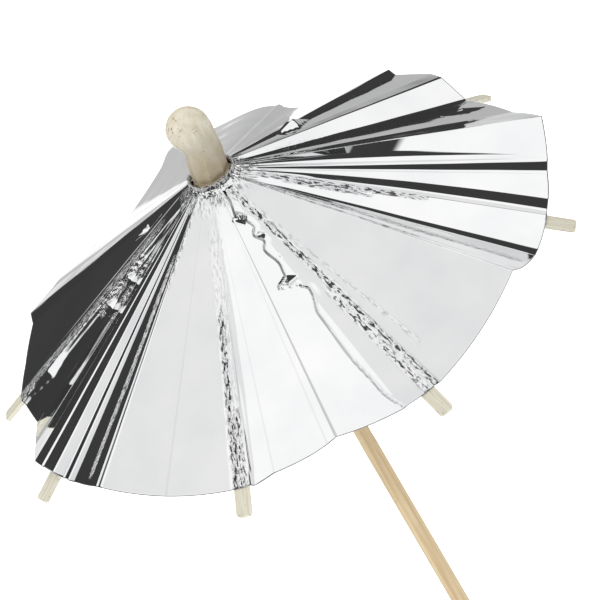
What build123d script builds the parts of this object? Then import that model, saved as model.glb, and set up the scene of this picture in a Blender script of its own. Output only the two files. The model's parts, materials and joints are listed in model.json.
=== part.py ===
from build123d import *
from math import cos, radians, sin, tan
import os

# Drink parasol, open, millimetres. +Z runs up the pick, and the origin is the shoulder where its point starts.

# The pick and its free lower end
pick_radius = 1.2
grip_length = 36
upper_pick_radius = 1.17
neckdown_length = 1
point_length = 7
point_radius = 0.3
running_gap = 0.07

# The linkage: ribs hinge on the hub, and stretchers of equal reach fold them down
hinge_height = 89
hinge_radius = 2.3
rib_azimuths = [27.5, 73, 118, 163.5, 198.5, 243.5, 285, 335]
open_slope = 29.6
tip_radius = 46
stretcher_reach = 22

# Split bamboo strips
rib_width = 2.3
strip_thickness = 0.6
tongue_width = 0.8
rib_tongue_end = 2
rib_full_width_from = 10
stretcher_width = 1.3
eye_radius = 0.5
outer_eye_radius = 0.4
thread_hole_radius = 0.24
tip_chamfer = 0.35

# Slots and thread grooves in the hub and the runner
slot_width = 1.0
slot_floor_radius = 1.7
groove_height = 0.5
groove_floor_radius = 2.12
thread_radius = 0.15
pin_radius = 0.15
pin_hole_radius = 0.2
knot_radius = 0.28
knot_length = 0.5
knot_slant = 0.13

# The turned hub, with heights above the hinges
hub_radius = 3.05
hub_bottom = -2.0
hub_edge = 0.4
slot_top = 0.75
facet_bottom = 1.0
facet_top = 4.4
facet_count = 8
neck_radius = 2.7
neck_top = 6.3
ball_radius = 3.55
ball_height = 9.0
pick_socket_top = 5.0

# The runner, with heights from its thread
runner_radius = 3.1
runner_top = 2.4
runner_bottom = -6.5
runner_slot_bottom = -5.6
runner_edge = 0.4

# The rolled sleeve under the runner
sleeve_radius = 1.75
sleeve_length = 8
sleeve_gap = 0.3

# The foil sheet and its collar
foil_thickness = 0.2
foil_lift = 0.9
foil_reach = 46.8
fold_depth = 1.5
foil_hole_radius = 3.3
collar_gap = 0.1
collar_inner_radius = 3.2
collar_outer_radius = 4.5
collar_height = 1.0
collar_shoulder = 0.45

rib_length = (tip_radius - hinge_radius) / cos(radians(open_slope))
runner_drop = 2 * stretcher_reach * sin(radians(open_slope))
runner_height = hinge_height - runner_drop
foil_edge_radius = hinge_radius + foil_reach * cos(radians(open_slope))
slope_rise = tan(radians(open_slope))

os.makedirs("parts", exist_ok=True)


def save(piece, name):
    """Label a finished piece and write its file."""
    piece.label = name
    export_step(piece, f"parts/{name}.step")


def strip_plane(azimuth, radius, height, slope):
    """A plane with X along a strip, outward and down by the slope, and Z out of its upper face."""
    around = radians(azimuth)
    down = radians(slope)
    return Plane(
        origin=(radius * cos(around), radius * sin(around), height),
        x_dir=(cos(down) * cos(around), cos(down) * sin(around), -sin(down)),
        z_dir=(sin(down) * cos(around), sin(down) * sin(around), cos(down)),
    )


def side_plane(flat, distance):
    """The upright plane through a strip's pivot, with Z along the pivot."""
    return Plane(origin=flat.from_local_coords((distance, 0, 0)), x_dir=flat.x_dir, z_dir=flat.y_dir)


# The pick: a thin straight shaft, a hair thinner where the runner slides, with a blunt point

with BuildPart() as stick:
    with BuildSketch(Plane.XZ):
        with BuildLine():
            Polyline(
                (0, -point_length),
                (point_radius, -point_length),
                (pick_radius, 0),
                (pick_radius, grip_length),
                (upper_pick_radius, grip_length + neckdown_length),
                (upper_pick_radius, hinge_height + pick_socket_top),
                (0, hinge_height + pick_socket_top),
                close=True,
            )
        make_face()
    revolve(axis=Axis.Z)
save(stick.part, "stick")


# The hub: slotted skirt, eight-sided lower neck, plain upper neck and ball

with BuildPart() as top_hub:
    with BuildSketch(Plane.XZ):
        with BuildLine():
            Polyline(
                (0, hinge_height + ball_height),
                (0, hinge_height + hub_bottom),
                (hub_radius - hub_edge, hinge_height + hub_bottom),
                (hub_radius, hinge_height + hub_bottom + hub_edge),
                (hub_radius, hinge_height + facet_top),
                (neck_radius, hinge_height + neck_top),
                (neck_radius, hinge_height + ball_height),
                close=True,
            )
        make_face()
    revolve(axis=Axis.Z)
    with Locations((0, 0, hinge_height + ball_height)):
        Sphere(radius=ball_radius)
    with BuildSketch(Plane.XY.offset(hinge_height + facet_bottom)):
        Circle(radius=hub_radius + 1)
        RegularPolygon(radius=hub_radius, side_count=facet_count, mode=Mode.SUBTRACT)
    extrude(amount=facet_top - facet_bottom, mode=Mode.SUBTRACT)
    with BuildSketch(Plane.XY.offset(hinge_height + hub_bottom)):
        for azimuth in rib_azimuths:
            with Locations(Rotation(0, 0, azimuth)):
                with Locations((slot_floor_radius, 0)):
                    Rectangle(hub_radius, slot_width, align=(Align.MIN, Align.CENTER))
    extrude(amount=slot_top - hub_bottom, mode=Mode.SUBTRACT)
    with BuildSketch(Plane.XY.offset(hinge_height - groove_height / 2)):
        Circle(radius=hub_radius + 1)
        Circle(radius=groove_floor_radius, mode=Mode.SUBTRACT)
    extrude(amount=groove_height, mode=Mode.SUBTRACT)
    with BuildSketch(Plane.XY.offset(hinge_height + hub_bottom)):
        Circle(radius=upper_pick_radius + 0.01)
    extrude(amount=pick_socket_top - hub_bottom, mode=Mode.SUBTRACT)
save(top_hub.part, "top_hub")


# The thread rings that the ribs and the stretchers hang on

def thread_ring(height):
    """A closed ring of thread at a height."""
    with BuildPart() as ring:
        with Locations((0, 0, height)):
            Torus(major_radius=hinge_radius, minor_radius=thread_radius)
    return ring.part


save(thread_ring(hinge_height), "hub_thread")
save(thread_ring(runner_height), "runner_thread")


# The runner: a short drum with open slots for the stretchers and a groove for its thread

with BuildPart() as runner:
    with BuildSketch(Plane.XY.offset(runner_height + runner_bottom)):
        Circle(radius=runner_radius)
        Circle(radius=upper_pick_radius + running_gap, mode=Mode.SUBTRACT)
    extrude(amount=runner_top - runner_bottom)
    rims = runner.edges().filter_by(GeomType.CIRCLE).filter_by(lambda edge: edge.radius > hinge_radius)
    chamfer(rims, length=runner_edge)
    with BuildSketch(Plane.XY.offset(runner_height + runner_slot_bottom)):
        for azimuth in rib_azimuths:
            with Locations(Rotation(0, 0, azimuth)):
                with Locations((slot_floor_radius, 0)):
                    Rectangle(runner_radius, slot_width, align=(Align.MIN, Align.CENTER))
    extrude(amount=runner_top - runner_slot_bottom, mode=Mode.SUBTRACT)
    with BuildSketch(Plane.XY.offset(runner_height - groove_height / 2)):
        Circle(radius=runner_radius + 1)
        Circle(radius=groove_floor_radius, mode=Mode.SUBTRACT)
    extrude(amount=groove_height, mode=Mode.SUBTRACT)
save(runner.part, "runner")


# The rolled paper sleeve, which grips the pick just under the runner

with BuildPart() as stop_sleeve:
    with BuildSketch(Plane.XY.offset(runner_height + runner_bottom - sleeve_gap)):
        Circle(radius=sleeve_radius)
        Circle(radius=upper_pick_radius + running_gap, mode=Mode.SUBTRACT)
    extrude(amount=-sleeve_length)
save(stop_sleeve.part, "stop_sleeve")


# Ribs: a narrow tongue with an eye in the hub, a full-width strip, and a slit for the stretcher

def make_rib(azimuth):
    """One rib, from its eye in the hub to its cut tip."""
    flat = strip_plane(azimuth, hinge_radius, hinge_height, open_slope)
    with BuildPart() as rib:
        with BuildSketch(flat.offset(-strip_thickness / 2)):
            with BuildLine():
                Polyline(
                    (0, tongue_width / 2),
                    (rib_tongue_end, tongue_width / 2),
                    (rib_full_width_from, rib_width / 2),
                    (rib_length - tip_chamfer, rib_width / 2),
                    (rib_length, rib_width / 2 - tip_chamfer),
                    (rib_length, 0),
                    (0, 0),
                    close=True,
                )
            make_face()
            mirror(about=Plane.XZ)
        extrude(amount=strip_thickness)
        with BuildSketch(side_plane(flat, 0)):
            Circle(radius=eye_radius)
        extrude(amount=tongue_width / 2, both=True)
        with BuildSketch(side_plane(flat, 0)):
            Circle(radius=thread_hole_radius)
        extrude(amount=tongue_width, both=True, mode=Mode.SUBTRACT)
        with BuildSketch(flat.offset(-strip_thickness)):
            with Locations((stretcher_reach + 1, 0)):
                SlotOverall(5.2, slot_width)
        extrude(amount=2 * strip_thickness, mode=Mode.SUBTRACT)
        with BuildSketch(side_plane(flat, stretcher_reach)):
            Circle(radius=pin_radius)
        extrude(amount=rib_width, both=True, mode=Mode.SUBTRACT)
    return rib.part


# Stretchers: an eye on the rib's pin, a plain strip, and an eye on the runner's thread

def make_stretcher(azimuth):
    """One stretcher, from its eye in the rib's slit down to its eye in the runner."""
    mid_radius = hinge_radius + stretcher_reach * cos(radians(open_slope))
    mid_height = hinge_height - stretcher_reach * sin(radians(open_slope))
    flat = strip_plane(azimuth + 180, -mid_radius, mid_height, open_slope)
    with BuildPart() as stretcher:
        with BuildSketch(flat.offset(-strip_thickness / 2)):
            with BuildLine():
                Polyline(
                    (0, tongue_width / 2),
                    (3, tongue_width / 2),
                    (4.5, stretcher_width / 2),
                    (stretcher_reach - 6.5, stretcher_width / 2),
                    (stretcher_reach - 4.5, tongue_width / 2),
                    (stretcher_reach, tongue_width / 2),
                    (stretcher_reach, 0),
                    (0, 0),
                    close=True,
                )
            make_face()
            mirror(about=Plane.XZ)
        extrude(amount=strip_thickness)
        for distance, radius, hole in (
            (0, outer_eye_radius, pin_hole_radius),
            (stretcher_reach, eye_radius, thread_hole_radius),
        ):
            with BuildSketch(side_plane(flat, distance)):
                Circle(radius=radius)
            extrude(amount=tongue_width / 2, both=True)
            with BuildSketch(side_plane(flat, distance)):
                Circle(radius=hole)
            extrude(amount=tongue_width, both=True, mode=Mode.SUBTRACT)
    return stretcher.part


# Thread pins: a short thread through rib and stretcher, with a knot at each side of the rib

def make_rib_thread(azimuth):
    """One knotted thread across a rib's slit."""
    flat = strip_plane(azimuth, hinge_radius, hinge_height, open_slope)
    pivot = flat.from_local_coords((stretcher_reach, 0, 0))
    knot_start = rib_width / 2
    knot_end = knot_start + knot_length
    with BuildPart() as rib_thread:
        with BuildSketch(Plane(origin=pivot, x_dir=flat.x_dir, z_dir=flat.z_dir)):
            with BuildLine():
                Polyline(
                    (0, knot_end),
                    (pin_radius, knot_end),
                    (knot_radius, knot_end - knot_slant),
                    (knot_radius, knot_start + knot_slant),
                    (pin_radius, knot_start),
                    (pin_radius, 0),
                    (0, 0),
                    close=True,
                )
            make_face()
            mirror(about=Plane.XZ)
        revolve(axis=Axis(pivot, flat.y_dir))
    return rib_thread.part


for number, azimuth in enumerate(rib_azimuths, start=1):
    save(make_rib(azimuth), f"rib_{number}")
    save(make_stretcher(azimuth), f"stretcher_{number}")
    save(make_rib_thread(azimuth), f"rib_thread_{number}")


# The foil canopy: a shallow eight-sided cone with a fold line midway between the ribs

def on_foil(azimuth, radius, drop):
    """A point on the sheet's underside."""
    around = radians(azimuth)
    height = hinge_height + foil_lift - (foil_edge_radius - hinge_radius) * slope_rise - drop
    return (radius * cos(around), radius * sin(around), height)


crown = (0, 0, hinge_height + foil_lift + hinge_radius * slope_rise)

with BuildPart() as canopy:
    for azimuth, following in zip(rib_azimuths, rib_azimuths[1:] + [rib_azimuths[0] + 360]):
        half_gap = (following - azimuth) / 2
        fold = on_foil(azimuth + half_gap, foil_edge_radius * cos(radians(half_gap)), fold_depth)
        for rib_edge in (azimuth, following):
            panel = Face(Wire.make_polygon([crown, on_foil(rib_edge, foil_edge_radius, 0), fold]))
            extrude(panel, amount=foil_thickness, dir=(0, 0, 1))
    with BuildSketch(Plane.XY.offset(hinge_height - foil_hole_radius)):
        Circle(radius=foil_hole_radius)
    extrude(amount=3 * foil_hole_radius, mode=Mode.SUBTRACT)
save(canopy.part, "canopy")


# The foil collar, pinched round the neck on top of the sheet

with BuildPart() as foil_collar:
    collar_base = hinge_height + foil_lift + foil_thickness + collar_gap
    inner_height = collar_base - (collar_inner_radius - hinge_radius) * slope_rise
    outer_height = collar_base - (collar_outer_radius - hinge_radius) * slope_rise
    with BuildSketch(Plane.XZ):
        with BuildLine():
            Polyline(
                (collar_inner_radius, inner_height),
                (collar_outer_radius, outer_height),
                (collar_outer_radius, outer_height + collar_shoulder),
                (collar_inner_radius + collar_shoulder, inner_height + collar_height),
                (collar_inner_radius, inner_height + collar_height),
                close=True,
            )
        make_face()
    revolve(axis=Axis.Z)
save(foil_collar.part, "foil_collar")
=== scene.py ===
import json
import math

import bmesh
import bpy
from mathutils import Matrix, Vector, noise


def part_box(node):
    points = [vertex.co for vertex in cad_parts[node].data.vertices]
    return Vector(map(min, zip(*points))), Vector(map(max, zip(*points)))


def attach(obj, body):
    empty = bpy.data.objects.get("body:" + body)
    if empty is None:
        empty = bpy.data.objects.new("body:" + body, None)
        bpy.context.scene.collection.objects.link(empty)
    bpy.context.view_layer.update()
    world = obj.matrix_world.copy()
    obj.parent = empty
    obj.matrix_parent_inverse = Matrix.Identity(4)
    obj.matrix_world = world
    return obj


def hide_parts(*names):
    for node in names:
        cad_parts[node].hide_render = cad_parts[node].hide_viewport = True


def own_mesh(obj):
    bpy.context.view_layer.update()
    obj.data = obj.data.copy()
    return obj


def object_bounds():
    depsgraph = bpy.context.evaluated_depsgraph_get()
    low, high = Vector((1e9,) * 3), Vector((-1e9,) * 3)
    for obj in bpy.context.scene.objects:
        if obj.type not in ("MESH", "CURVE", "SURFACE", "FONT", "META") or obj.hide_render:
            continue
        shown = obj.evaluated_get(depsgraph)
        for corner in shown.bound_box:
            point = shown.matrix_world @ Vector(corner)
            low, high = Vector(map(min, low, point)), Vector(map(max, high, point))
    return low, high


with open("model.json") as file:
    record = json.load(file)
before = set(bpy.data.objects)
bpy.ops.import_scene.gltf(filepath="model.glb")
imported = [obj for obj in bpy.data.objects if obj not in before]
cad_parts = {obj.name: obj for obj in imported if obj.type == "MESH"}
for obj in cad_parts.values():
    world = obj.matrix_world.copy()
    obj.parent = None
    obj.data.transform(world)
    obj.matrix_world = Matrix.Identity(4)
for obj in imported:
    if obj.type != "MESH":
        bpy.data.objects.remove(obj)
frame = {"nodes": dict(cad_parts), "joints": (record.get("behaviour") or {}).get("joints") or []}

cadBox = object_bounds()
mm = 0.001

# Where the hub, the ribs and the slides are, all from the record
joints = {joint["name"]: joint for joint in frame["joints"]}
ribNumbers = range(1, 9)
ribPivots = {n: Vector(joints[f"rib_{n}_fold"]["pos_m"]) for n in ribNumbers}
slitPivots = {n: Vector(joints[f"stretcher_{n}_fold"]["pos_m"]) for n in ribNumbers}
ribAxes = {n: Vector(joints[f"rib_{n}_fold"]["axis"]) for n in ribNumbers}
ribTurns = {n: math.degrees(math.atan2(ribPivots[n].y, ribPivots[n].x)) % 360 for n in ribNumbers}
hinge = Vector((0, 0, ribPivots[1].z))  # middle of the hub's thread ring
ribOut = (slitPivots[1] - ribPivots[1]).normalized()
openSlope = math.asin(-ribOut.z)  # how far the open ribs lean down
ribReach = (slitPivots[1] - ribPivots[1]).length
baseHeight = cadBox[0][2]


# Small helpers

def linearColour(code):  # sRGB hex to the linear values that shaders take
    parts = [int(code[i:i + 2], 16) / 255 for i in (1, 3, 5)]
    return [c / 12.92 if c <= 0.04045 else ((c + 0.055) / 1.055) ** 2.4 for c in parts] + [1]


def addNode(tree, kind, settings=None, inputs=None):
    node = tree.nodes.new(kind)
    for name, value in (settings or {}).items():
        setattr(node, name, value)
    for name, value in (inputs or {}).items():
        if isinstance(value, bpy.types.NodeSocket):
            tree.links.new(value, node.inputs[name])
        else:
            node.inputs[name].default_value = value
    return node


def startMaterial(name, **sockets):
    material = bpy.data.materials.new(name)
    material.use_nodes = True
    tree = material.node_tree
    shader = tree.nodes["Principled BSDF"]
    for socket, value in sockets.items():
        shader.inputs[socket.replace("_", " ")].default_value = value
    return material, tree, shader


def setStops(ramp, stops):  # (place, colour) stops on a colour ramp
    elements = ramp.color_ramp.elements
    while len(elements) > 1:
        elements.remove(elements[-1])
    elements[0].position, elements[0].color = stops[0]
    for place, colour in stops[1:]:
        elements.new(place).color = colour


def smoothStep(edge, end, value):
    t = min(1, max(0, (value - edge) / (end - edge)))
    return t * t * (3 - 2 * t)


def finishPiece(obj, body, material, slot, *nodes):
    if material:
        obj.data.materials.clear()
        obj.data.materials.append(material)
    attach(obj, body)
    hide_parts(*nodes)


def selectOnly(obj):
    bpy.ops.object.select_all(action="DESELECT")
    obj.select_set(True)
    bpy.context.view_layer.objects.active = obj


def meshObject(name, verts, faces):
    mesh = bpy.data.meshes.new(name)
    mesh.from_pydata([tuple(v) for v in verts], [], faces)
    obj = bpy.data.objects.new(name, mesh)
    bpy.context.scene.collection.objects.link(obj)
    return obj


def looseCopy(name, node):  # a merged copy of a CAD mesh, to be reshaped
    obj = meshObject(name, [], [])
    shape = bmesh.new()
    shape.from_mesh(frame["nodes"][node].data)
    bmesh.ops.remove_doubles(shape, verts=shape.verts, dist=0.001 * mm)
    bmesh.ops.dissolve_limit(shape, angle_limit=0.001, verts=shape.verts, edges=shape.edges)
    shape.to_mesh(obj.data)
    shape.free()
    return obj


# Camera: low over the front of the open canopy, turned so that the pick leans

camera = {
    "elevation": 32.21,  # degrees
    "roll": 30.28,
    "distance": 1.3167,  # metres from the hinges
    "lens": 552.5,
    "sensor": 36,
    "aimRight": 0.01234,  # metres from the hinges, across the view and up it
    "aimUp": -0.01752,
}
lift, roll = math.radians(camera["elevation"]), math.radians(camera["roll"])
backward = Vector((0, -math.cos(lift), math.sin(lift)))
upward = Vector((0, math.sin(lift), math.cos(lift)))
sideways = Vector((1, 0, 0))
cameraRight = math.cos(roll) * sideways - math.sin(roll) * upward
cameraUp = math.sin(roll) * sideways + math.cos(roll) * upward
cameraPlace = hinge + camera["distance"] * backward
aim = hinge + camera["aimRight"] * cameraRight + camera["aimUp"] * cameraUp
look = (cameraPlace - aim).normalized()
trueRight = (cameraRight - cameraRight.dot(look) * look).normalized()
trueUp = look.cross(trueRight)
cameraData = bpy.data.cameras.new("camera")
cameraData.lens = camera["lens"]
cameraData.sensor_width = camera["sensor"]
cameraData.clip_start, cameraData.clip_end = 0.05, 10
cameraObject = bpy.data.objects.new("camera", cameraData)
bpy.context.scene.collection.objects.link(cameraObject)
turn = Matrix((trueRight, trueUp, look)).transposed()
cameraObject.matrix_world = Matrix.Translation(cameraPlace) @ turn.to_4x4()
bpy.context.scene.camera = cameraObject
bpy.context.scene.view_settings.view_transform = "Standard"
print("camera set")


# Studio: white overhead, a dark surround at eye level and a pale sweep below, which is what the foil mirrors

studio = {
    # (elevation in degrees, brightness)
    "bands": [(-90, 1.15), (-26, 1.1), (-23, 0.95), (-21, 0.6), (-6, 0.52), (-4, 0.055), (25.5, 0.05), (29.5, 1.2),
              (62, 1.2), (66, 1.0), (90, 0.97)],
    # A round white card at the right, in degrees
    "card": {"turn": 14, "elevation": 22, "radius": 13, "softEdge": 2, "brightness": 1.15},
    # (place in metres, side in metres, watts)
    "softboxes": {"overhead_box": ((0.15, -0.25, 0.75), 0.4, 0.5), "left_box": ((-0.5, -0.3, 0.5), 0.3, 1.2)},
    "floorRadius": 0.6,
    "floorDrop": 0.0002,
}
world = bpy.data.worlds.new("studio")
bpy.context.scene.world = world
world.use_nodes = True
tree = world.node_tree
tree.nodes.clear()
direction = addNode(tree, "ShaderNodeTexCoord")
parts = addNode(tree, "ShaderNodeSeparateXYZ", {}, {"Vector": direction.outputs["Generated"]})
rise = addNode(tree, "ShaderNodeMath", {"operation": "ARCSINE"}, {0: parts.outputs["Z"]})
rise = addNode(tree, "ShaderNodeMapRange", {},
               {"Value": rise.outputs[0], "From Min": -math.pi / 2, "From Max": math.pi / 2})
bands = addNode(tree, "ShaderNodeValToRGB", {}, {"Fac": rise.outputs["Result"]})
setStops(bands, [((e + 90) / 180, (b / 2, b / 2, b / 2, 1)) for e, b in studio["bands"]])
card = studio["card"]
cardTurn, cardLift = math.radians(card["turn"]), math.radians(card["elevation"])
cardPlace = (math.cos(cardLift) * math.cos(cardTurn), math.cos(cardLift) * math.sin(cardTurn), math.sin(cardLift))
cardEdge, cardFade = math.cos(math.radians(card["radius"])), math.cos(math.radians(card["radius"] + card["softEdge"]))
near = addNode(tree, "ShaderNodeVectorMath", {"operation": "DOT_PRODUCT"},
               {0: direction.outputs["Generated"], 1: cardPlace})
inCard = addNode(tree, "ShaderNodeMapRange", {},
                 {"Value": near.outputs["Value"], "From Min": cardFade, "From Max": cardEdge})
lit = [card["brightness"] / 2] * 3 + [1]
sky = addNode(tree, "ShaderNodeMix", {"data_type": "RGBA"},
              {0: inCard.outputs["Result"], 6: bands.outputs["Color"], 7: lit})
glow = addNode(tree, "ShaderNodeBackground", {}, {"Color": sky.outputs[2], "Strength": 2})
plain = addNode(tree, "ShaderNodeBackground", {}, {"Color": (1, 1, 1, 1), "Strength": 1})
path = addNode(tree, "ShaderNodeLightPath")
both = addNode(tree, "ShaderNodeMixShader", {},
               {0: path.outputs["Is Camera Ray"], 1: glow.outputs[0], 2: plain.outputs[0]})
addNode(tree, "ShaderNodeOutputWorld", {}, {"Surface": both.outputs[0]})

for name, (place, side, watts) in studio["softboxes"].items():
    lamp = bpy.data.lights.new(name, "AREA")
    lamp.energy, lamp.size = watts, side
    softbox = bpy.data.objects.new(name, lamp)
    softbox.location = place
    softbox.rotation_mode = "QUATERNION"
    softbox.rotation_quaternion = (Vector(place) - hinge).to_track_quat("Z", "Y")
    softbox.visible_glossy = False
    bpy.context.scene.collection.objects.link(softbox)

# Matt white paper under the pick, clear from below so that it doesn't hide the underside
floorMaterial, tree, shader = startMaterial("pale_paper_sweep", Roughness=0.9)
shader.inputs["Base Color"].default_value = linearColour("#F4F4F3")
shader.inputs["Emission Color"].default_value = (1, 1, 1, 1)
shader.inputs["Emission Strength"].default_value = 0.75
under = addNode(tree, "ShaderNodeNewGeometry")
clear = addNode(tree, "ShaderNodeBsdfTransparent")
oneSided = addNode(tree, "ShaderNodeMixShader", {},
                   {0: under.outputs["Backfacing"], 1: shader.outputs[0], 2: clear.outputs[0]})
tree.links.new(oneSided.outputs[0], tree.nodes["Material Output"].inputs["Surface"])
bpy.ops.object.select_all(action="DESELECT")
bpy.ops.mesh.primitive_circle_add(vertices=96, radius=studio["floorRadius"], fill_type="NGON",
                                  location=(0, 0, baseHeight - studio["floorDrop"]))
floor = bpy.context.active_object
floor.name = "floor"
floor.data.materials.append(floorMaterial)
floor.visible_glossy = False
print("studio set")


# Materials

def foilMaterials():
    # Aluminium foil laminated on thin paper: mirror bright, with rolling marks and crackle where it is glued, and
    # painted shade darkening the crackle and the sharp folds
    face, tree, shader = startMaterial("silver_foil_face", Metallic=1)
    place = addNode(tree, "ShaderNodeTexCoord").outputs["Object"]
    clouds = addNode(tree, "ShaderNodeTexNoise", {}, {"Vector": place, "Scale": 1 / (9 * mm), "Detail": 3})
    tint = addNode(tree, "ShaderNodeValToRGB", {}, {"Fac": clouds.outputs["Fac"]})
    setStops(tint, [(0.3, linearColour("#DFE0E1")), (0.7, linearColour("#E8E8E8"))])
    rub = addNode(tree, "ShaderNodeTexNoise", {}, {"Vector": place, "Scale": 1 / (2.5 * mm), "Detail": 4})
    satin = addNode(tree, "ShaderNodeMapRange", {}, {"Value": rub.outputs["Fac"], "To Min": 0.02, "To Max": 0.07})
    tree.links.new(satin.outputs["Result"], shader.inputs["Roughness"])
    crackle = addNode(tree, "ShaderNodeAttribute", {"attribute_name": "crackle"}).outputs["Fac"]
    sheetPlace = addNode(tree, "ShaderNodeUVMap", {"uv_map": "sheet"}).outputs["UV"]
    drawn = addNode(tree, "ShaderNodeMapping", {},
                    {"Vector": sheetPlace, "Scale": (1 / (1.1 * mm), 1 / (0.38 * mm), 1)})
    fine = addNode(tree, "ShaderNodeTexNoise", {}, {"Vector": drawn.outputs[0], "Scale": 1, "Detail": 3})
    # Painted shade: dark specks in the crackle stand in for the dark surround that the foil mirrors there
    cracked = addNode(tree, "ShaderNodeMapRange", {},
                      {"Value": fine.outputs["Fac"], "From Min": 0.5, "From Max": 0.4})
    crackleShade = addNode(tree, "ShaderNodeMath", {"operation": "MULTIPLY", "use_clamp": True},
                     {0: cracked.outputs[0], 1: crackle})
    # Painted shade along sharp folds and the blister's groove
    foldShade = addNode(tree, "ShaderNodeAttribute", {"attribute_name": "foldShade"}).outputs["Fac"]
    paintedShade = addNode(tree, "ShaderNodeMath", {"operation": "MAXIMUM"}, {0: crackleShade.outputs[0], 1: foldShade})
    # The painted shade is mixed into the foil's colour as dark grey
    colour = addNode(tree, "ShaderNodeMix", {"data_type": "RGBA"},
                     {0: paintedShade.outputs[0], 6: tint.outputs["Color"], 7: linearColour("#454547")})
    tree.links.new(colour.outputs[2], shader.inputs["Base Color"])
    ripple = addNode(tree, "ShaderNodeTexNoise", {}, {"Vector": place, "Scale": 1 / (7 * mm), "Detail": 1})
    soft = addNode(tree, "ShaderNodeBump", {}, {"Height": ripple.outputs["Fac"], "Distance": 0.05 * mm})
    sharp = addNode(tree, "ShaderNodeBump", {},
                    {"Height": fine.outputs["Fac"], "Distance": 0.5 * mm, "Strength": crackle,
                     "Normal": soft.outputs["Normal"]})
    tree.links.new(sharp.outputs["Normal"], shader.inputs["Normal"])

    # The paper behind the foil: dull silver grey with a faint fibre
    back, tree, shader = startMaterial("foil_paper_back", Roughness=0.55)
    place = addNode(tree, "ShaderNodeTexCoord").outputs["Object"]
    fibre = addNode(tree, "ShaderNodeTexNoise", {}, {"Vector": place, "Scale": 1 / (0.8 * mm), "Detail": 5})
    tint = addNode(tree, "ShaderNodeValToRGB", {}, {"Fac": fibre.outputs["Fac"]})
    setStops(tint, [(0.3, linearColour("#A2A3A6")), (0.7, linearColour("#B9BABB"))])
    tree.links.new(tint.outputs["Color"], shader.inputs["Base Color"])
    grit = addNode(tree, "ShaderNodeBump", {}, {"Height": fibre.outputs["Fac"], "Distance": 0.02 * mm})
    tree.links.new(grit.outputs["Normal"], shader.inputs["Normal"])
    return face, back


def fibreMaterial(name, dark, light, pit, grain, along, source, pitSize, pitAmount, foot=None):
    # Bare fibres: grain or pile drawn out along the piece, darker pores and a dry surface, with sizes in mm
    material, tree, shader = startMaterial(name, Roughness=0.62)
    coords = addNode(tree, "ShaderNodeTexCoord").outputs[source]
    drawn = addNode(tree, "ShaderNodeMapping", {}, {"Vector": coords, "Scale": along})
    streaks = addNode(tree, "ShaderNodeTexNoise", {},
                      {"Vector": drawn.outputs[0], "Scale": 1 / (grain * mm), "Detail": 6, "Distortion": 0.3})
    tint = addNode(tree, "ShaderNodeValToRGB", {}, {"Fac": streaks.outputs["Fac"]})
    setStops(tint, [(0.25, linearColour(dark)), (0.72, linearColour(light))])
    pores = addNode(tree, "ShaderNodeTexVoronoi", {}, {"Vector": coords, "Scale": 1 / (pitSize * mm)})
    patches = addNode(tree, "ShaderNodeTexNoise", {}, {"Vector": coords, "Scale": 1 / (1.6 * mm)})
    poreSize = addNode(tree, "ShaderNodeMapRange", {},
                       {"Value": patches.outputs["Fac"], "From Min": 0.42, "From Max": 0.72, "To Min": 0, "To Max": 0.38})
    inside = addNode(tree, "ShaderNodeMath", {"operation": "LESS_THAN"},
                     {0: pores.outputs["Distance"], 1: poreSize.outputs[0]})
    depth = addNode(tree, "ShaderNodeMath", {"operation": "MULTIPLY"}, {0: inside.outputs[0], 1: pitAmount})
    mixed = addNode(tree, "ShaderNodeMix", {"data_type": "RGBA"},
                    {0: depth.outputs[0], 6: tint.outputs["Color"], 7: linearColour(pit)})
    colour = mixed.outputs[2]
    if foot:  # painted shade towards the foot, partly darker rough-cut wood
        height = addNode(tree, "ShaderNodeSeparateXYZ", {}, {"Vector": coords}).outputs["Z"]
        uneven = addNode(tree, "ShaderNodeMath", {"operation": "MULTIPLY_ADD"},
                         {0: patches.outputs["Fac"], 1: 2.5 * mm, 2: height})
        low = addNode(tree, "ShaderNodeMapRange", {},
                      {"Value": uneven.outputs[0], "From Min": hinge.z + 2.2 * mm, "From Max": hinge.z + 10.5 * mm,
                       "To Min": 0.75, "To Max": 0})
        paintedFootShade = addNode(tree, "ShaderNodeMix", {"data_type": "RGBA"},
                          {0: low.outputs[0], 6: colour, 7: linearColour(foot)})
        colour = paintedFootShade.outputs[2]
    tree.links.new(colour, shader.inputs["Base Color"])
    bumps = addNode(tree, "ShaderNodeBump", {}, {"Height": streaks.outputs["Fac"], "Distance": 0.03 * mm})
    holes = addNode(tree, "ShaderNodeBump", {"invert": True},
                    {"Height": depth.outputs[0], "Distance": 0.04 * mm, "Normal": bumps.outputs["Normal"]})
    tree.links.new(holes.outputs["Normal"], shader.inputs["Normal"])
    return material


foilFace, foilBack = foilMaterials()
# Lime wood off a lathe, unsealed: pale, close and chalky, darker at its foot with painted shade, partly darker
# rough-cut wood
knobWood = fibreMaterial("turned_lime_wood", "#CCC2A6", "#E6E0D0", "#857452", 1.1, (1, 1, 0.35), "Object", 0.55, 0.7,
                         "#8E7A56")
# Birch drawn through a die: honey coloured, with fine grain that runs its whole length
pickWood = fibreMaterial("birch_pick_wood", "#BCA078", "#DAC7A1", "#98794E", 0.6, (1, 1, 0.04), "Object", 0.35, 0.3)
# Turned birch, coarser
runnerWood = fibreMaterial("turned_birch", "#C9B283", "#E2CFA4", "#8F7650", 0.8, (1, 1, 0.06), "Object", 0.5, 0.6)
# Bamboo split by hand: straight grey-green fibres along each strip, and dark pores in its cut ends
bamboo = fibreMaterial("split_bamboo", "#C0BAA4", "#DEDACA", "#8C8167", 0.35, (0.05, 1, 1), "UV", 0.5, 0.35)
# Cotton thread: soft, even and slightly fuzzy
cotton = fibreMaterial("cotton_thread", "#D9D4C8", "#F1EEE6", "#B5AE9F", 0.15, (1, 1, 1), "Object", 0.3, 0.2)
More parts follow.
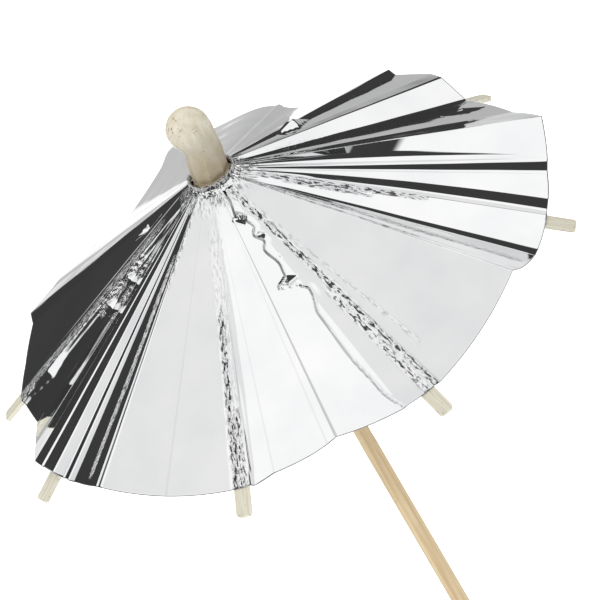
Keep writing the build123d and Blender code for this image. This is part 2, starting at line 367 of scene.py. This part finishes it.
# Kraft paper, rolled and glued: matt cream with short fibres
sleevePaper = fibreMaterial("rolled_kraft_paper", "#D9CDB4", "#EDE6D6", "#B9AB8E", 0.5, (1, 1, 0.3), "Object", 0.4, 0.25)
print("materials made")


# Foil canopy: one sheet of crisp facets between the fold lines, held flat where a rib is glued under it

foil = {
    "crownRise": 1.85,  # mm above the hinge ring
    "reach": 48.9,  # mm from the crown to the rim
    "innerRadius": 3.6,
    "thickness": 0.09,
    "rings": 210,
    "glueGap": 0.05,
    "bandHalfWidth": 1.2,  # mm each side of a rib that is held flat, and the width in which that ends
    "bandBlend": 0.6,
    "creaseStep": 0.35,  # degrees of sheet that a fold's rounding takes
    "bandStep": 0.4,  # degrees between columns near a rib, on open panels and round the blister
    "panelStep": 0.9,
    "blisterStep": 0.22,
    "blisterZone": (267, 282),
    "ribZone": 4.5,
    "rumple": 0.05,  # mm high, long and wide
    "rumpleSize": (1.3, 0.6),
    "wave": 0.04,  # mm high and long
    "waveSize": 8,
    "keep": 0.25,  # share of its width that a gore folds down to
}
stripHalf = 0.3 * mm  # half a rib's thickness
crown = hinge + Vector((0, 0, foil["crownRise"] * mm))
reach = foil["reach"] * mm
ribSpan = reach - ribPivots[1].to_2d().length / math.cos(openSlope)

# The rim ends of the folds: (degrees round, rise over the even cone in mm, distance from the crown in mm)
ribRims = {1: (27.5, -0.5, 49.0), 2: (72.5, 2.2, 48.9), 3: (117.5, -1.0, 48.9), 4: (163.5, -1.3, 49.0),
           5: (198.5, 1.9, 48.9), 6: (243.5, -1.1, 49.0), 7: (285.0, -0.8, 48.9), 8: (335.0, -1.3, 48.9)}
foldRims = {
    1: [(32.4, 3.2, 47.7), (36.4, 3.1, 48.7), (45.5, 2.75, 49.1), (46.7, 3.7, 49.0), (67.7, 0.6, 48.8),
        (69.6, 1.0, 48.9)],
    2: [(75.5, 2.8, 48.9), (79.3, 2.9, 48.9), (84.6, 2.9, 48.9), (93.7, 3.7, 48.9), (97.9, 1.9, 48.9),
        (101.3, 0.7, 48.9), (105.4, -0.5, 48.8), (109.3, -1.2, 48.8)],
    3: [(128.7, -0.1, 49.0), (133.0, 0.2, 48.8), (140.5, 1.1, 49.1), (142.6, 0.0, 48.9), (153.8, -1.2, 48.7)],
    4: [(172.1, -3.6, 48.2), (180.8, -1.9, 48.9), (194.3, 3.65, 48.8), (197.6, 3.9, 48.8)],
    5: [(203.4, 2.9, 48.9), (203.8, 1.95, 48.9), (207.0, 2.5, 48.8), (214.8, 4.3, 49.0), (227.9, 0.3, 48.9),
        (240.9, -1.1, 49.0)],
    6: [(245.8, -2.2, 48.9), (251.1, -0.4, 48.6), (259.8, 1.4, 48.9), (263.3, 2.3, 48.9), (265.4, 3.1, 48.9),
        (279.1, -0.7, 48.9), (282.7, -0.8, 48.9)],
    7: [(288.0, -1.2, 48.9), (311.2, 6.4, 49.0), (313.9, 4.7, 49.2), (323.5, -0.6, 48.8), (325.8, -1.1, 48.8)],
    8: [(338.4, -1.8, 48.9), (339.8, 0.2, 48.9), (346.8, 0.9, 48.9), (348.0, 2.6, 48.9), (348.5, 2.9, 48.9),
        (348.9, 3.3, 48.9), (355.4, 6.7, 49.0), (369.2, 2.0, 48.2), (378.4, 0.6, 48.2)],
}
# Folds at which the gore after each rib ends and the next begins
splitTurns = {1: 46.7, 2: 93.7, 3: 140.5, 4: 180.8, 5: 215.6, 6: 265.4, 7: 311.2, 8: 355.4}
# How far a fold strays from straight at half way: (sideways, up) in mm, by its turn
swells = {338.4: (0.9, -0.1), 339.8: (0.9, 0.2), 348.5: (1.5, -0.75), 348.9: (1.9, 0.3)}
ribBows = {2: 1.0}  # ribs that have let go of the foil at the tip, mm
# Crushed streaks: (turn, start and end as shares of the reach, strength, half width in mm)
crushLines = [(25.0, 0.2, 1.1, 0.2, 1.2), (164.0, 0.2, 1.1, 1.0, 1.1), (168.5, 0.32, 0.62, 0.8, 0.8),
              (211.5, 0.25, 1.0, 0.9, 0.45), (215.5, 0.1, 0.4, 0.7, 0.35),
              (242.6, 0.4, 1.1, 1.3, 0.6), (244.2, 0.7, 1.1, 1.1, 0.8), (243.5, 0.15, 1.1, 0.2, 1.3),
              (287.2, 0.06, 1.1, 1.6, 0.55), (285.0, 0.5, 1.1, 1.1, 0.7), (291.0, 0.1, 0.9, 0.35, 0.3),
              (335.8, 0.1, 0.66, 1.6, 0.4), (333.0, 0.2, 0.5, 1.2, 0.4), (318.0, 0.5, 1.0, 0.3, 0.6)]
# Pyramid dents: (turn, share, half length, half width, height in mm)
dents = [(272.4, 0.2, 1.3, 1.5, 1.1), (278.5, 0.28, 0.8, 0.9, 0.7), (275.6, 0.455, 1.1, 2.1, -0.95),
         (279.8, 0.37, 0.4, 0.5, -0.4), (166.2, 0.86, 5.5, 1.2, 0.55), (169.5, 0.55, 1.6, 1.1, 0.9),
         (170.5, 0.44, 1.3, 0.8, 0.8), (148.0, 0.33, 4.0, 1.0, -0.7), (44.0, 0.43, 4.2, 1.7, 1.3),
         (18.0, 0.9, 4.0, 1.4, 0.5), (226.0, 0.3, 3.0, 0.35, -0.12), (322.0, 0.7, 5.0, 0.5, 0.2)]
# The edge of the loose blister beside rib 7: (share, turn)
blisterEdge = [(0.05, 277), (0.12, 273.5), (0.195, 269), (0.212, 276), (0.24, 278), (0.27, 274), (0.30, 277.5),
               (0.33, 274.3), (0.39, 276.6), (0.43, 275.6), (0.468, 270.2), (0.485, 278), (0.51, 280), (0.6, 277),
               (0.75, 276.8), (0.9, 277.7), (1.05, 280)]
# Sizes in mm, and the turns between which it lies; one size is the width of painted shade along its groove
blister = {"height": 0.16, "edgeWidth": 0.34, "groove": 0.45, "startTurn": 265, "endTurn": 284.2, "shadeWidth": 0.18}
# How much painted shade darkens a sharp fold, by its turn
foldShadeByTurn = {263.3: 0.12, 265.4: 0.4, 245.8: 0.3, 251.1: 0.12, 288.0: 0.25, 227.9: 0.1}


def evenPoint(turn, distance):  # on the even cone, from the crown
    around, level = math.radians(turn), math.cos(openSlope)
    return distance * Vector((math.cos(around) * level, math.sin(around) * level, -math.sin(openSlope)))


def rimPoint(turn, rise, distance):
    point = evenPoint(turn, reach) + Vector((0, 0, rise * mm))
    return point.normalized() * distance * mm


def ribFrame(n):  # out along a rib, across it and up from its face
    out = (slitPivots[n] - ribPivots[n]).normalized()
    upFace = ribAxes[n].cross(out)
    if upFace.z < 0:
        upFace = -upFace
    return out, ribAxes[n], upFace


ribFrames = {n: ribFrame(n) for n in ribNumbers}
foilBows = {}  # how far the foil's rim stands off the even cone over each rib
for n in ribNumbers:
    turn, rise, distance = ribRims[n]
    foilBows[n] = (rimPoint(turn, rise, distance) - evenPoint(turn, distance * mm)).dot(ribFrames[n][2])
stripBows = {n: ribBows[n] * mm if n in ribBows else foilBows[n] for n in ribNumbers}


def bowAt(amount, along):
    return amount * max(0, along) / ribSpan


foldLines = []  # (turn, rim point, rib number or 0), once round
for n in ribNumbers:
    foldLines.append((ribRims[n][0], rimPoint(*ribRims[n]), n))
    foldLines += [(rim[0], rimPoint(*rim), 0) for rim in foldRims[n]]
foldLines.append((foldLines[0][0] + 360, foldLines[0][1], 1))

# The back of the canopy is a soft swell: more lines on a smooth curve through its rim points
softStart, softEnd = 67.7, 133.0
smoothLines = []
for i, (turn, rim, rib) in enumerate(foldLines):
    smoothLines.append((turn, rim, rib))
    if softStart <= turn < softEnd:
        before, following, later = foldLines[i - 1][1], foldLines[i + 1][1], foldLines[i + 2][1]
        if turn == softStart:
            before = rim
        for t in (0.25, 0.5, 0.75):
            curve = 0.5 * (2 * rim + (following - before) * t + (2 * before - 5 * rim + 4 * following - later) * t * t
                           + (3 * rim - before - 3 * following + later) * t ** 3)
            smoothLines.append((turn + (foldLines[i + 1][0] - turn) * t, curve, 0))
foldLines = smoothLines


def linePoint(line, share):  # from the crown
    turn, rim, rib = line
    sidewaysBy, upBy = swells.get(turn, (0, 0))
    around = math.radians(turn + 90)
    stray = Vector((math.cos(around) * sidewaysBy, math.sin(around) * sidewaysBy, upBy)) * mm
    return rim * share + stray * 4 * share * (1 - share)


def spanSteps(line, following, span):
    # Shares of a facet's angle where its columns stand: close at the folds, closer still over a rib
    steps, turned = [0.0], foil["creaseStep"]
    while turned < span - foil["creaseStep"] * 1.2:
        steps.append(turned)
        nearRib = (line[2] and turned < foil["ribZone"]) or (following[2] and span - turned < foil["ribZone"])
        if foil["blisterZone"][0] < line[0] + turned < foil["blisterZone"][1]:
            turned += foil["blisterStep"]
        else:
            turned += foil["bandStep"] if nearRib else foil["panelStep"]
    steps.append(span - foil["creaseStep"])
    return [s / span for s in steps] if span > 3 * foil["creaseStep"] else [0.0, 0.5]


columns = []  # (line, following line, share of the way between them)
for line, following in zip(foldLines, foldLines[1:]):
    span = math.degrees(line[1].angle(following[1]))
    columns += [(line, following, share) for share in spanSteps(line, following, span)]


def sheetPoint(line, following, between, share):
    a = linePoint(line, share)
    if between == 0:
        return a
    b = linePoint(following, share)
    angle = a.angle(b)
    return (a * math.sin((1 - between) * angle) + b * math.sin(between * angle)) / math.sin(angle)


def streakAt(turn, share):
    # How crushed the foil is, how far the dents and the blister lift it, and how much painted shade its creases get
    crushed = 0.75 * (1 - smoothStep(0.09, 0.17, share))
    for lineTurn, start, end, strength, halfWidth in crushLines:
        away = abs((turn - lineTurn + 180) % 360 - 180)
        if away < 40:
            across = math.radians(away) * share * foil["reach"]
            edge = 1 - smoothStep(halfWidth * 0.5, halfWidth * 1.3, across)
            ends = smoothStep(start, start + 0.1, share) * (1 - smoothStep(end - 0.06, end, share))
            crushed = max(crushed, strength * edge * ends)
    lift = creaseShade = 0
    for dentTurn, dentShare, halfLength, halfWidth, height in dents:
        away = abs((turn - dentTurn + 180) % 360 - 180)
        if away < 30:
            across = math.radians(away) * share * foil["reach"]
            along = abs(share - dentShare) * foil["reach"]
            lift += height * max(0, 1 - across / halfWidth - along / halfLength)
    if blister["startTurn"] < turn < blister["endTurn"]:
        for (a, edgeA), (b, edgeB) in zip(blisterEdge, blisterEdge[1:]):
            if a <= share < b:
                edgeTurn = edgeA + (edgeB - edgeA) * smoothStep(a, b, share)
                past = math.radians(turn - edgeTurn) * share * foil["reach"]
                step = smoothStep(-blister["edgeWidth"] / 2, blister["edgeWidth"] / 2, past)
                lift += blister["height"] * step * (1 - smoothStep(edgeTurn, blister["endTurn"], turn))
                lift -= blister["groove"] * max(0, 1 - abs(past) / (blister["edgeWidth"] / 2 + 0.05))
                # painted shade along the blister's groove edge
                creaseShade = max(0, 1 - abs(past) / blister["shadeWidth"]) * (0.75 if share < 0.55 else 0.45)
    return crushed, lift * mm, creaseShade


def settle(point, n, turn, share):
    # Adds the dents, lays the sheet over rib n, rumples it, and says how crushed it is and how much painted shade its
    # creases get
    out, side, upFace = ribFrames[n]
    crushed, lift, creaseShade = streakAt(turn, share)
    point = point + upFace * lift
    local = point - ribPivots[n]
    along, across, height = local.dot(out), local.dot(side), local.dot(upFace)
    glued = 1 - smoothStep(foil["bandHalfWidth"] * mm, (foil["bandHalfWidth"] + foil["bandBlend"]) * mm, abs(across))
    glued *= smoothStep(1 * mm, 4 * mm, along)
    onRib = stripHalf + (foil["glueGap"] + foil["thickness"]) * mm + bowAt(foilBows[n], along)
    rumpleLength, rumpleWidth = foil["rumpleSize"]
    rumple = noise.noise(Vector((along / (rumpleLength * mm), across / (rumpleWidth * mm), n * 5.3)))
    rumple = foil["rumple"] * mm * (rumple + 0.6) * min(1.5, crushed)
    wave = noise.noise(point / (foil["waveSize"] * mm)) * smoothStep(0.1, 0.4, share)
    moved = point + upFace * (max(0, onRib - height) * glued + rumple + foil["wave"] * mm * wave)
    return moved, crushed, creaseShade, along, across


rings = foil["rings"]
innerShare = foil["innerRadius"] / foil["reach"]
shares = [innerShare + (1 - innerShare) * i / (rings - 1) for i in range(rings)]
columnTurns = [line[0] + (following[0] - line[0]) * between for line, following, between in columns]
splitColumns = {n: min(range(len(columns)), key=lambda i: abs(columnTurns[i] - turn))
                for n, turn in splitTurns.items()}


def goreMesh(n):
    # Vertices of gore n, column by column, with the crackle, the painted crease shade and the place along and across
    # its rib
    start, end = splitColumns[n - 1 if n > 1 else 8], splitColumns[n]
    picked = list(range(start, end + 1)) if start < end else list(range(start, len(columns))) + list(range(end + 1))
    verts, marks, creaseShades, places = [], [], [], []
    for c in picked:
        line, following, between = columns[c]
        for share in shares:
            point = crown + sheetPoint(line, following, between, share)
            point, crushed, creaseShade, along, across = settle(point, n, columnTurns[c], share)
            verts.append(point)
            marks.append(crushed)
            # painted shade along sharp folds
            creaseShades.append(max(creaseShade, foldShadeByTurn.get(line[0], 0) if between == 0 else 0))
            places.append((along, across))
    faces = []
    for i in range(len(picked) - 1):
        for r in range(rings - 1):
            a = i * rings + r
            faces.append((a, a + 1, a + rings + 1, a + rings))
    return verts, faces, marks, creaseShades, places


for n in ribNumbers:
    verts, faces, marks, creaseShades, places = goreMesh(n)
    gore = meshObject(f"foil_gore_{n}", verts, faces)
    gore.data.attributes.new("crackle", "FLOAT", "POINT").data.foreach_set("value", marks)
    gore.data.attributes.new("foldShade", "FLOAT", "POINT").data.foreach_set("value", creaseShades)
    layer = gore.data.uv_layers.new(name="sheet")
    for loop in gore.data.loops:
        layer.data[loop.index].uv = places[loop.vertex_index]
    gore.data.shade_smooth()
    gore.data.materials.append(foilFace)
    gore.data.materials.append(foilBack)
    thick = gore.modifiers.new("thickness", "SOLIDIFY")
    thick.thickness, thick.offset = foil["thickness"] * mm, -1
    thick.material_offset = thick.material_offset_rim = 1
    selectOnly(gore)
    bpy.ops.object.modifier_apply(modifier="thickness")
    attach(gore, f"rib_{n}")
    if n == 1:
        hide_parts("canopy")
    length = (foil["reach"] - foil["innerRadius"]) * mm
    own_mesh(gore)
print("foil gores made")


# Ribs, stretchers and thread pins: the CAD shapes, bent as far as the foil on each rib is, with a map for their grain

stripSlots = {"rib": "bamboo", "stretcher": "bamboo", "rib_thread": "thread"}
ribCuts = range(3, 50, 3)  # mm out along a rib, so that it can bend


def mapStrip(obj, origin, out):
    # A UV map in metres along and across a strip, so that the bamboo's fibres run with it
    across = Vector((0, 0, 1)).cross(out).normalized()
    layer = obj.data.uv_layers.new(name="strip")
    for loop in obj.data.loops:
        p = obj.data.vertices[loop.vertex_index].co - origin
        layer.data[loop.index].uv = (p.dot(out), p.dot(across) + 0.3 * p.dot(out.cross(across)))


for n in ribNumbers:
    out, side, upFace = ribFrames[n]
    for kind, slot in stripSlots.items():
        piece = looseCopy(f"{kind}_piece_{n}", f"{kind}_{n}")
        shape = bmesh.new()
        shape.from_mesh(piece.data)
        if kind == "rib":
            for cut in ribCuts:
                bmesh.ops.bisect_plane(shape, geom=shape.verts[:] + shape.edges[:] + shape.faces[:],
                                       plane_co=ribPivots[n] + out * cut * mm, plane_no=out, dist=0.0001 * mm)
        for v in shape.verts:
            if kind == "stretcher":
                inner = ribPivots[n].to_2d().length
                share = max(0, (v.co - hinge).to_2d().length - inner) / (slitPivots[n].to_2d().length - inner)
                v.co += upFace * bowAt(stripBows[n], ribReach) * min(1.05, share)
            else:
                v.co += upFace * bowAt(stripBows[n], (v.co - ribPivots[n]).dot(out))
        shape.to_mesh(piece.data)
        shape.free()
        mapStrip(piece, ribPivots[n], out)
        body = f"stretcher_{n}" if kind == "stretcher" else f"rib_{n}"
        finishPiece(piece, body, cotton if slot == "thread" else bamboo, slot, f"{kind}_{n}")
print("strips made")


# Knob: turned on a lathe, whittled flat below the neck, slotted for the ribs

knob = {
    # (height over the hinge, radius) in mm, from the bore round the outside to the top
    "profile": [(-2.0, 1.21), (-2.0, 2.65), (-1.6, 3.05), (-0.25, 3.05), (-0.25, 2.12), (0.25, 2.12), (0.25, 3.05),
                (1.0, 3.05), (2.0, 3.0), (3.2, 2.93), (4.4, 2.85), (5.5, 2.72), (6.3, 2.72), (7.0, 2.85), (7.8, 3.1),
                (8.6, 3.25), (9.4, 3.28), (10.3, 3.12), (11.1, 2.7), (11.8, 2.05), (12.25, 1.25), (12.45, 0.5)],
    "segments": 64,
    "flatCount": 8,
    "flatTurn": 11.25,  # degrees round to the middle of the first flat
    "flatRadius": 2.62,
    "flatZone": (0.5, 6.4),
    "leanNeck": 0.75,  # mm to the right at the neck, and at the head
    "leanHead": 0.35,
    "slotWidth": 1.0,
    "slotStart": 1.7,
    "slotLength": 3,
    "slotTop": 0.75,
    "slotBottom": -3,
    "smoothAngle": 22,
}
bpy.ops.object.select_all(action="DESELECT")
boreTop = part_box("stick")[1][2] + 0.03 * mm
startRadius = knob["profile"][0][1] * mm
bpy.ops.mesh.primitive_circle_add(vertices=knob["segments"], radius=startRadius, fill_type="NGON",
                                  location=(0, 0, boreTop))
knobObject = bpy.context.active_object
knobObject.name = "turned_knob"
bpy.ops.object.transform_apply(location=True)
bpy.ops.object.mode_set(mode="EDIT")
level, radius = boreTop, startRadius
for height, ringRadius in knob["profile"]:
    newLevel = hinge.z + height * mm
    bpy.ops.mesh.select_mode(type="EDGE")
    if level == boreTop and radius == startRadius:  # only the bore's rim carries on
        bpy.ops.mesh.region_to_loop()
    bpy.ops.mesh.extrude_edges_move(TRANSFORM_OT_translate={"value": (0, 0, newLevel - level)})
    grow = ringRadius * mm / radius
    bpy.ops.transform.resize(value=(grow, grow, 1), center_override=(0, 0, newLevel))
    level, radius = newLevel, ringRadius * mm
bpy.ops.mesh.edge_face_add()
bpy.ops.mesh.select_all(action="SELECT")
bpy.ops.mesh.normals_make_consistent(inside=False)
bpy.ops.object.mode_set(mode="OBJECT")
low, high = knob["flatZone"]
flatSpan = 360 / knob["flatCount"]
for v in knobObject.data.vertices:  # eight flats, then the lean of a carelessly turned neck
    height = (v.co.z - hinge.z) / mm
    around = math.degrees(math.atan2(v.co.y, v.co.x))
    offFlat = (around - knob["flatTurn"] + flatSpan / 2) % flatSpan - flatSpan / 2
    whittled = smoothStep(low, low + 0.4, height) * (1 - smoothStep(high - 1.6, high, height))
    span = v.co.to_2d().length
    if span > 2.2 * mm and whittled > 0:
        flat = min(span, knob["flatRadius"] * mm / math.cos(math.radians(offFlat)))
        scale = 1 + (flat / span - 1) * whittled
        v.co.x, v.co.y = v.co.x * scale, v.co.y * scale
    if span > 1.3 * mm or height > 8:
        lean = knob["leanNeck"] * smoothStep(0.8, 6, height)
        lean -= (knob["leanNeck"] - knob["leanHead"]) * smoothStep(6, 9.5, height)
        v.co.x += lean * mm
for n in ribNumbers:
    length = knob["slotLength"] * mm
    outward = ribPivots[n].copy()
    outward.z = 0
    outward.normalize()
    place = outward * (knob["slotStart"] * mm + length / 2)
    place.z = hinge.z + (knob["slotTop"] + knob["slotBottom"]) * mm / 2
    bpy.ops.mesh.primitive_cube_add(size=1, location=place, rotation=(0, 0, math.radians(ribTurns[n])))
    cutter = bpy.context.active_object
    cutter.scale = (length, knob["slotWidth"] * mm, (knob["slotTop"] - knob["slotBottom"]) * mm)
    bpy.ops.object.transform_apply(location=True, rotation=True, scale=True)
    cut = knobObject.modifiers.new("slot", "BOOLEAN")
    cut.operation, cut.object, cut.solver = "DIFFERENCE", cutter, "EXACT"
    selectOnly(knobObject)
    bpy.ops.object.modifier_apply(modifier="slot")
    bpy.data.objects.remove(cutter)
selectOnly(knobObject)
bpy.ops.object.shade_smooth_by_angle(angle=math.radians(knob["smoothAngle"]))
finishPiece(knobObject, "root", knobWood, "knob_wood", "top_hub")
print("knob made")


# Collar: the foil's torn middle, crushed up round the foot of the knob

collar = {
    "footRadius": 4.15,  # mm, where it spreads on the canopy
    "neckRadius": 3.22,
    "climb": 1.0,  # mm up the knob
    "flare": 0.35,
    "clear": 0.16,
    "pleat": 0.34,
    "thickness": 0.05,
    "crackle": 0.3,
    "columns": 260,
    "rows": 22,
    "footShare": 0.6,  # share of its rows that lie on the canopy
    "smallestSheet": 10.2,  # mm, a torn square that would just wrap the neck
}
verts, faces = [], []
for i in range(collar["columns"]):
    turn = 2 * math.pi * i / collar["columns"]
    ringPlace = Vector((math.cos(turn), math.sin(turn), 0))
    foot = collar["footRadius"] + 0.5 * noise.noise(ringPlace * 4) + 0.25 * noise.noise(ringPlace * 11)
    top = collar["climb"] * (1 + 0.55 * noise.noise(ringPlace * 7 + Vector((3, 1, 0))))
    for r in range(collar["rows"]):
        s = r / (collar["rows"] - 1)
        onFoil = min(1, s / collar["footShare"])
        upNeck = max(0, (s - collar["footShare"]) / (1 - collar["footShare"]))
        radius = foot + (collar["neckRadius"] + 0.25 - foot) * onFoil
        radius += collar["flare"] * upNeck ** 3 - 0.2 * smoothStep(0, 0.6, upNeck)
        pleats = noise.noise(ringPlace * 11 + Vector((0, 0, s * 1.5)))
        pleats += 0.6 * noise.noise(ringPlace * 24 + Vector((0, 0, s * 3)))
        fold = collar["pleat"] * pleats * (0.25 + onFoil * 0.75)
        level = foil["crownRise"] - radius * math.tan(openSlope) + collar["clear"] + 0.3 * onFoil
        height = level + abs(fold) * (1 - upNeck) + top * upNeck
        radius += max(-0.12, fold * 0.5) * smoothStep(0, 0.5, upNeck)
        verts.append(hinge + Vector((ringPlace.x * radius, ringPlace.y * radius, height)) * mm)
for i in range(collar["columns"]):
    for r in range(collar["rows"] - 1):
        a, b = i * collar["rows"] + r, (i + 1) % collar["columns"] * collar["rows"] + r
        faces.append((a, b, b + 1, a + 1))
collarObject = meshObject("crushed_foil_collar", verts, faces)
marks = [collar["crackle"]] * len(verts)
collarObject.data.attributes.new("crackle", "FLOAT", "POINT").data.foreach_set("value", marks)
layer = collarObject.data.uv_layers.new(name="sheet")
for loop in collarObject.data.loops:
    co = collarObject.data.vertices[loop.vertex_index].co
    layer.data[loop.index].uv = (co.x, co.y)
collarObject.data.shade_smooth()
collarObject.data.materials.append(foilFace)
collarObject.data.materials.append(foilBack)
thick = collarObject.modifiers.new("thickness", "SOLIDIFY")
thick.thickness, thick.offset, thick.material_offset = collar["thickness"] * mm, -1, 1
selectOnly(collarObject)
bpy.ops.object.modifier_apply(modifier="thickness")
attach(collarObject, "root")
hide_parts("foil_collar")
side = max(2 * (collar["footRadius"] + 0.5), collar["smallestSheet"]) * mm
print("collar made")


# Thread: two plies twisted round each other, tied in rings through the strips' eyes

thread = {"plies": 2, "plyShare": 0.52, "squeeze": 0.9, "turnsPerMm": 0.9, "sides": 8, "steps": 300}


def twistedRing(name, node, material):
    low, high = (Vector(corner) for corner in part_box(node))
    middle = (low + high) / 2
    threadRadius = (high.z - low.z) / 2
    ringRadius = (high.x - low.x) / 2 - threadRadius
    plyRadius = threadRadius * thread["plyShare"]
    twists = round(2 * math.pi * ringRadius / mm * thread["turnsPerMm"])
    verts, faces = [], []
    for ply in range(thread["plies"]):
        first = len(verts)
        for i in range(thread["steps"]):
            around = 2 * math.pi * i / thread["steps"]
            outward = Vector((math.cos(around), math.sin(around), 0))
            twist = twists * around + ply * math.pi
            centre = middle + outward * (ringRadius + math.cos(twist) * plyRadius * thread["squeeze"])
            centre.z += math.sin(twist) * plyRadius * thread["squeeze"]
            for k in range(thread["sides"]):
                a = 2 * math.pi * k / thread["sides"]
                verts.append(centre + (outward * math.cos(a) + Vector((0, 0, math.sin(a)))) * plyRadius)
        for i in range(thread["steps"]):
            for k in range(thread["sides"]):
                a, b = first + i * thread["sides"], first + (i + 1) % thread["steps"] * thread["sides"]
                following = (k + 1) % thread["sides"]
                faces.append((a + k, b + k, b + following, a + following))
    ring = meshObject(name, verts, faces)
    ring.data.shade_smooth()
    finishPiece(ring, "root" if node == "hub_thread" else "runner", material, "thread", node)


twistedRing("hub_thread_ring", "hub_thread", cotton)
twistedRing("runner_thread_ring", "runner_thread", cotton)
print("thread made")


# Sleeve: a strip of cream paper rolled tight round the pick

sleeve = {
    "layers": 3.3,
    "innerRadius": 1.37,
    "outerRadius": 1.72,
    "thickness": 0.1,
    "skew": 0.25,  # radians that the loose end runs askew
    "steps": 240,
    "rows": 12,
    "smoothAngle": 40,
}
low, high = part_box("stop_sleeve")
verts, faces = [], []
for i in range(sleeve["steps"] + 1):
    s = i / sleeve["steps"]
    turn = s * sleeve["layers"] * 2 * math.pi
    radius = sleeve["innerRadius"] + (sleeve["outerRadius"] - sleeve["innerRadius"]) * s
    for r in range(sleeve["rows"] + 1):
        skew = sleeve["skew"] * s * (r / sleeve["rows"] - 0.5)
        height = low[2] + (high[2] - low[2]) * r / sleeve["rows"]
        verts.append(Vector((math.cos(turn + skew) * radius * mm, math.sin(turn + skew) * radius * mm, height)))
for i in range(sleeve["steps"]):
    for r in range(sleeve["rows"]):
        a = i * (sleeve["rows"] + 1) + r
        faces.append((a, a + sleeve["rows"] + 1, a + sleeve["rows"] + 2, a + 1))
sleeveObject = meshObject("rolled_paper_sleeve", verts, faces)
thick = sleeveObject.modifiers.new("thickness", "SOLIDIFY")
thick.thickness, thick.offset = sleeve["thickness"] * mm, -1
selectOnly(sleeveObject)
bpy.ops.object.modifier_apply(modifier="thickness")
bpy.ops.object.shade_smooth_by_angle(angle=math.radians(sleeve["smoothAngle"]))
finishPiece(sleeveObject, "sleeve", sleevePaper, "sleeve_paper", "stop_sleeve")
print("sleeve made")

# The pick and the runner keep their CAD shapes
for node, material in (("stick", pickWood), ("runner", runnerWood)):
    mesh = frame["nodes"][node].data
    mesh.materials.clear()
    mesh.materials.append(material)
print("wood made")
